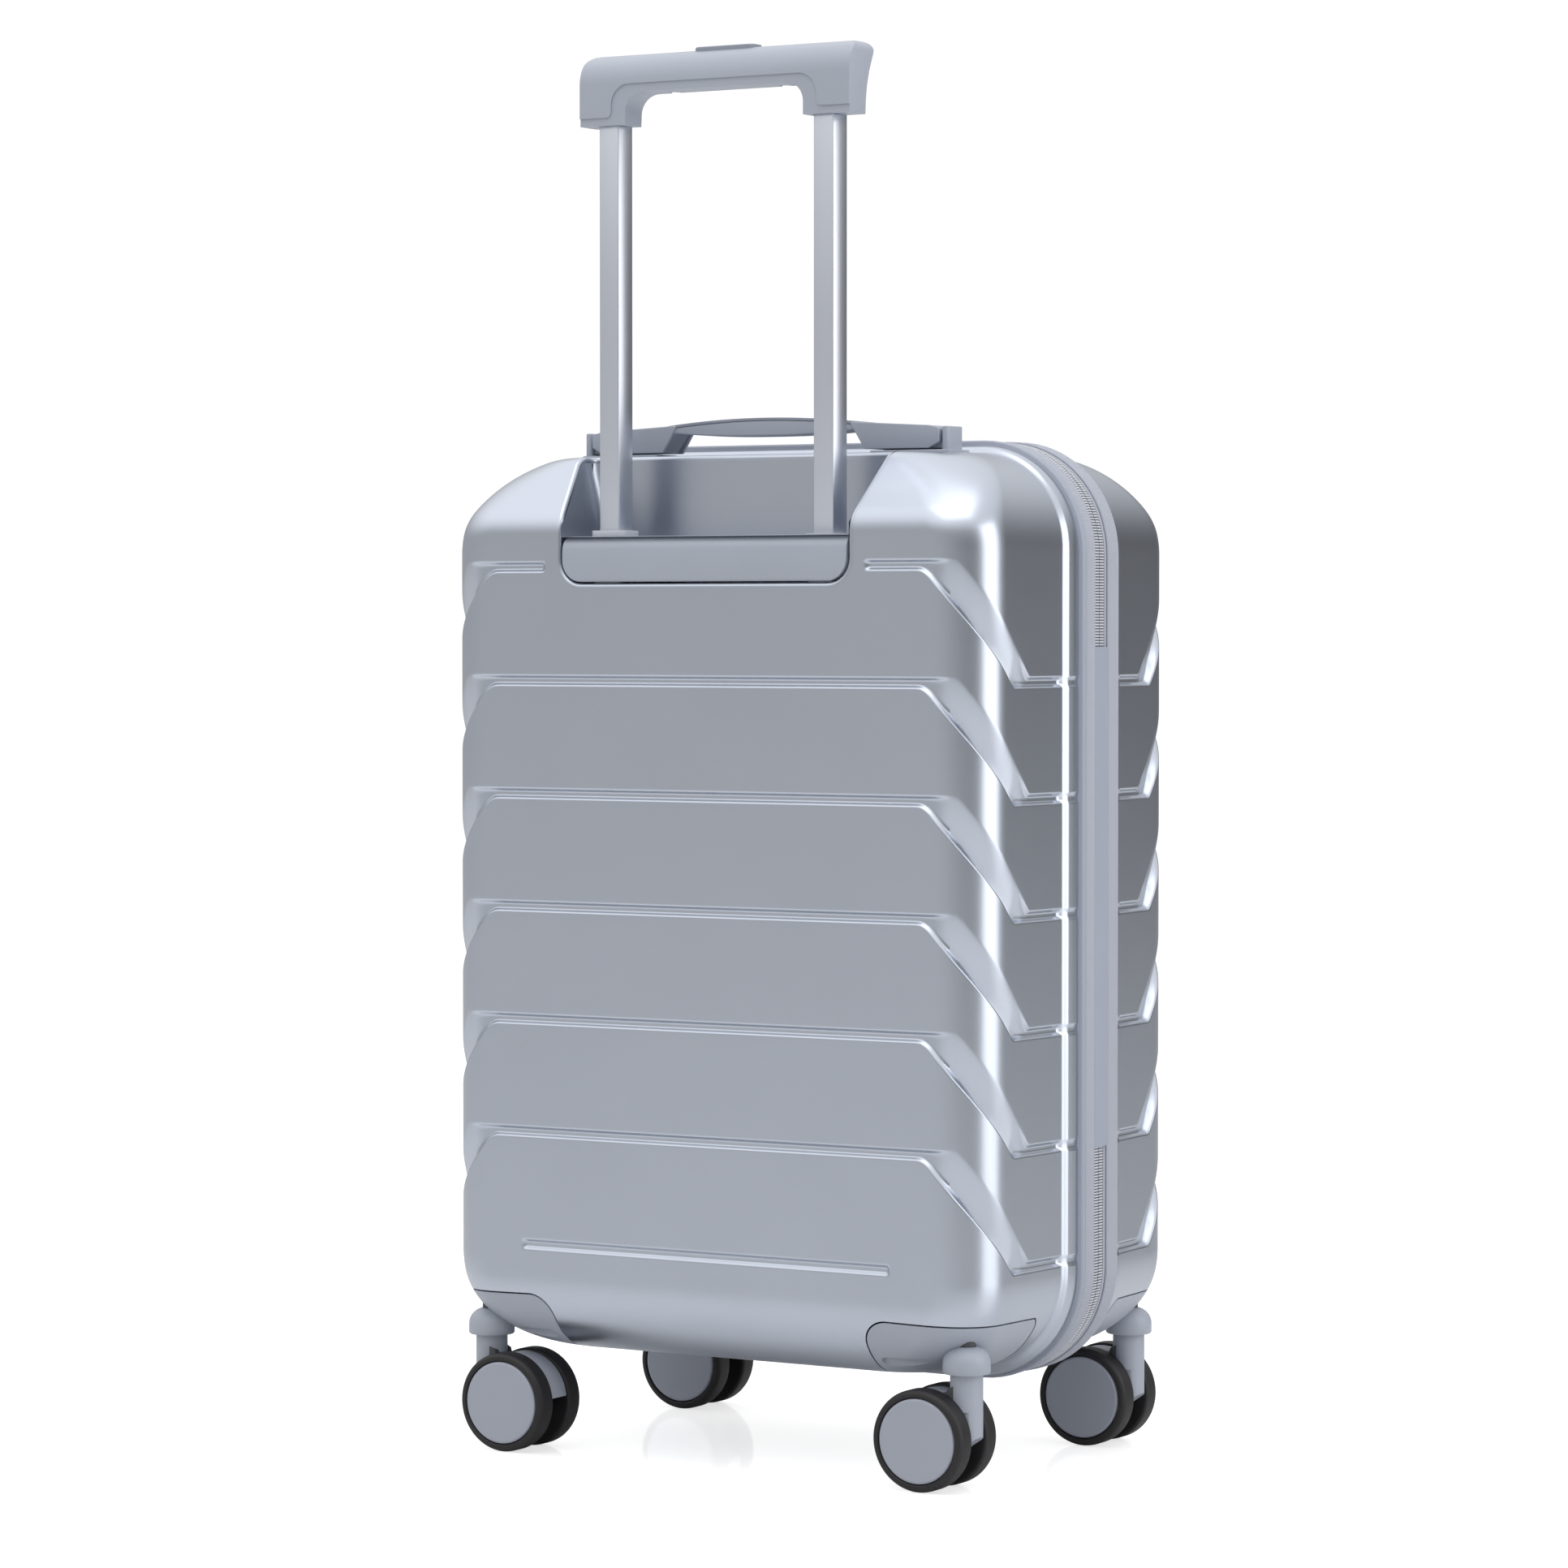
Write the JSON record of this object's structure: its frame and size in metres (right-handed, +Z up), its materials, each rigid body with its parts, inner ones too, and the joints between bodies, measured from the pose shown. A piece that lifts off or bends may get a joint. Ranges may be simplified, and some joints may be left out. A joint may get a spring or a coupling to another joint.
{
  "type": "hard shell suitcase",
  "caption": "Cabin-size hard shell suitcase with ribbed silver shells, zip, telescopic pull handle, carry handle and twin-wheel casters.",
  "frame": {"origin": "on the floor, at the centre of the box round the standing case", "axes": "+X across the case towards the zip hinge, -Y out of the rear face that carries the pull handle, +Z up"},
  "size_m": [0.3523, 0.22, 0.745],
  "materials": {
    "shell": "satin metallic silver film on moulded polycarbonate",
    "rim": "matt grey piping over an extruded edge profile",
    "zip_tape": "woven tape with a nylon coil",
    "hinge_strip": "smooth coated strip",
    "lining": "plain woven polyester lining",
    "strap": "black webbing",
    "trim": "fine-textured grey moulding",
    "collar": "smooth light grey moulding",
    "tube": "satin anodised",
    "inner_plastic": "plain dark moulding",
    "screw": "zinc plated steel",
    "button": "smooth grey moulding",
    "soft_grip": "soft-touch grey elastomer",
    "zip_metal": "painted zinc casting",
    "tyre": "black polyurethane",
    "hub": "satin grey moulding"
  },
  "bodies": {
    "case": {"rear_shell": "shell", "rear_rim": "rim", "rear_zip_tape": "zip_tape", "hinge_leaf_rear": "hinge_strip", "rear_lining": "lining", "packing_straps": "strap", "pull_bezel": "trim", "outer_tubes": "tube", "tube_foot": "inner_plastic", "case_screws": "screw", "carry_bases": "trim", "housing_rear_left": "trim", "housing_rear_right": "trim"},
    "lid": {"front_shell": "shell", "front_rim": "rim", "front_zip_tape": "zip_tape", "hinge_leaf_front": "hinge_strip", "front_lining": "lining", "lid_pocket": "lining", "lid_screws": "screw", "housing_front_left": "trim", "housing_front_right": "trim"},
    "middle_stage": {"middle_tubes": "tube", "middle_collars": "collar"},
    "pull_handle": {"inner_tubes": "tube", "tube_plugs": "inner_plastic", "grip_lower": "trim", "grip_upper": "trim", "grip_screws": "screw"},
    "release": {"release_button": "button"},
    "carry": {"carry_grip": "soft_grip"},
    "upper_slider": {"slider_upper": "zip_metal"},
    "lower_slider": {"slider_lower": "zip_metal"},
    "upper_pull": {"pull_upper": "zip_metal"},
    "lower_pull": {"pull_lower": "zip_metal"},
    "caster_rear_left": {"fork_rear_left": "trim", "axle_rear_left": "screw"},
    "wheel_a_rear_left": {"tyre_a_rear_left": "tyre", "hub_a_rear_left": "hub"},
    "wheel_b_rear_left": {"tyre_b_rear_left": "tyre", "hub_b_rear_left": "hub"},
    "caster_rear_right": {"fork_rear_right": "trim", "axle_rear_right": "screw"},
    "wheel_a_rear_right": {"tyre_a_rear_right": "tyre", "hub_a_rear_right": "hub"},
    "wheel_b_rear_right": {"tyre_b_rear_right": "tyre", "hub_b_rear_right": "hub"},
    "caster_front_left": {"fork_front_left": "trim", "axle_front_left": "screw"},
    "wheel_a_front_left": {"tyre_a_front_left": "tyre", "hub_a_front_left": "hub"},
    "wheel_b_front_left": {"tyre_b_front_left": "tyre", "hub_b_front_left": "hub"},
    "caster_front_right": {"fork_front_right": "trim", "axle_front_right": "screw"},
    "wheel_a_front_right": {"tyre_a_front_right": "tyre", "hub_a_front_right": "hub"},
    "wheel_b_front_right": {"tyre_b_front_right": "tyre", "hub_b_front_right": "hub"}
  },
  "joints": [
    {"name": "lid_hinge", "type": "hinge", "parent": "case", "child": "lid", "pos_m": [0.175, 0.003, 0.3], "axis": [0, 0, -1], "range_deg": [0, 150]},
    {"name": "middle_slide", "type": "slide", "parent": "case", "child": "middle_stage", "axis": [0, 0, 1], "range_m": [0, 0.23]},
    {"name": "handle_slide", "type": "slide", "parent": "middle_stage", "child": "pull_handle", "axis": [0, 0, 1], "range_m": [-0.212, 0]},
    {"name": "release_press", "type": "slide", "parent": "pull_handle", "child": "release", "axis": [0, 0, -1], "range_m": [0, 0.003], "stiffness_N_per_m": 800, "springref_m": -0.002},
    {"name": "carry_lift", "type": "slide", "parent": "case", "child": "carry", "axis": [0, 0, 1], "range_m": [0, 0.0055]},
    {"name": "upper_slider_run", "type": "slide", "parent": "case", "child": "upper_slider", "axis": [0, 0, 1], "range_m": [0, 0.14]},
    {"name": "lower_slider_run", "type": "slide", "parent": "case", "child": "lower_slider", "axis": [0, 0, 1], "range_m": [-0.16, 0]},
    {"name": "upper_pull_swing", "type": "hinge", "parent": "upper_slider", "child": "upper_pull", "pos_m": [-0.1767, 0.003, 0.3295], "axis": [0, 1, 0], "range_deg": [0, 150]},
    {"name": "lower_pull_swing", "type": "hinge", "parent": "lower_slider", "child": "lower_pull", "pos_m": [-0.1767, 0.003, 0.303], "axis": [0, 1, 0], "range_deg": [0, 150]},
    {"name": "swivel_rear_left", "type": "hinge", "parent": "case", "child": "caster_rear_left", "pos_m": [-0.1467, -0.0895, 0.06], "axis": [0, 0, 1], "continuous": true},
    {"name": "wheel_a_rear_left_spin", "type": "hinge", "parent": "caster_rear_left", "child": "wheel_a_rear_left", "pos_m": [-0.128, -0.0895, 0.0264], "axis": [0, 1, 0], "continuous": true},
    {"name": "wheel_b_rear_left_spin", "type": "hinge", "parent": "caster_rear_left", "child": "wheel_b_rear_left", "pos_m": [-0.128, -0.0895, 0.0264], "axis": [0, 1, 0], "continuous": true},
    {"name": "swivel_rear_right", "type": "hinge", "parent": "case", "child": "caster_rear_right", "pos_m": [0.1467, -0.0895, 0.06], "axis": [0, 0, 1], "continuous": true},
    {"name": "wheel_a_rear_right_spin", "type": "hinge", "parent": "caster_rear_right", "child": "wheel_a_rear_right", "pos_m": [0.128, -0.0895, 0.0264], "axis": [0, 1, 0], "continuous": true},
    {"name": "wheel_b_rear_right_spin", "type": "hinge", "parent": "caster_rear_right", "child": "wheel_b_rear_right", "pos_m": [0.128, -0.0895, 0.0264], "axis": [0, 1, 0], "continuous": true},
    {"name": "swivel_front_left", "type": "hinge", "parent": "lid", "child": "caster_front_left", "pos_m": [-0.1467, 0.0895, 0.06], "axis": [0, 0, 1], "continuous": true},
    {"name": "wheel_a_front_left_spin", "type": "hinge", "parent": "caster_front_left", "child": "wheel_a_front_left", "pos_m": [-0.128, 0.0895, 0.0264], "axis": [0, 1, 0], "continuous": true},
    {"name": "wheel_b_front_left_spin", "type": "hinge", "parent": "caster_front_left", "child": "wheel_b_front_left", "pos_m": [-0.128, 0.0895, 0.0264], "axis": [0, 1, 0], "continuous": true},
    {"name": "swivel_front_right", "type": "hinge", "parent": "lid", "child": "caster_front_right", "pos_m": [0.1467, 0.0895, 0.06], "axis": [0, 0, 1], "continuous": true},
    {"name": "wheel_a_front_right_spin", "type": "hinge", "parent": "caster_front_right", "child": "wheel_a_front_right", "pos_m": [0.128, 0.0895, 0.0264], "axis": [0, 1, 0], "continuous": true},
    {"name": "wheel_b_front_right_spin", "type": "hinge", "parent": "caster_front_right", "child": "wheel_b_front_right", "pos_m": [0.128, 0.0895, 0.0264], "axis": [0, 1, 0], "continuous": true}
  ]
}
